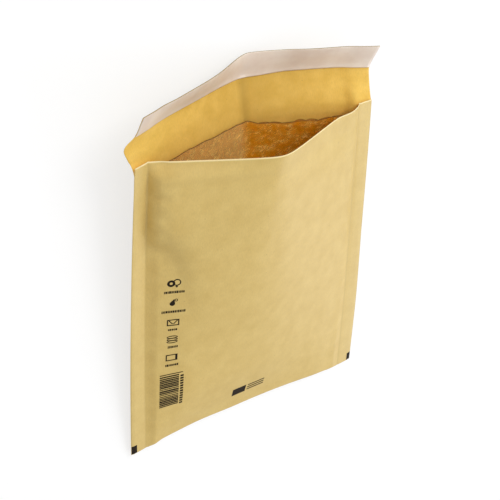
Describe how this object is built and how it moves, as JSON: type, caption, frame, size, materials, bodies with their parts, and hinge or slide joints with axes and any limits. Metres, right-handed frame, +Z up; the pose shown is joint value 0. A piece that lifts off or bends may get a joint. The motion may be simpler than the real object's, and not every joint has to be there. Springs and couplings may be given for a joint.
{
  "type": "padded envelope",
  "caption": "Open padded mailer of folded kraft paper with a bubble film lining, side seams and a peel-and-seal flap.",
  "frame": {"origin": "on the surface it lies on, under the middle of its outline", "axes": "+X across the envelope, +Y from the bottom fold towards the mouth and flap, +Z up, out of the front panel"},
  "size_m": [0.241, 0.327, 0.0767],
  "materials": {
    "kraft_paper": "matte",
    "bubble_film": "gloss",
    "adhesive": "satin",
    "release_liner": "satin"
  },
  "bodies": {
    "root": {"kraft_envelope": "kraft_paper", "bubble_lining": "bubble_film", "adhesive_strip": "adhesive", "release_strip": "release_liner"}
  },
  "joints": []
}
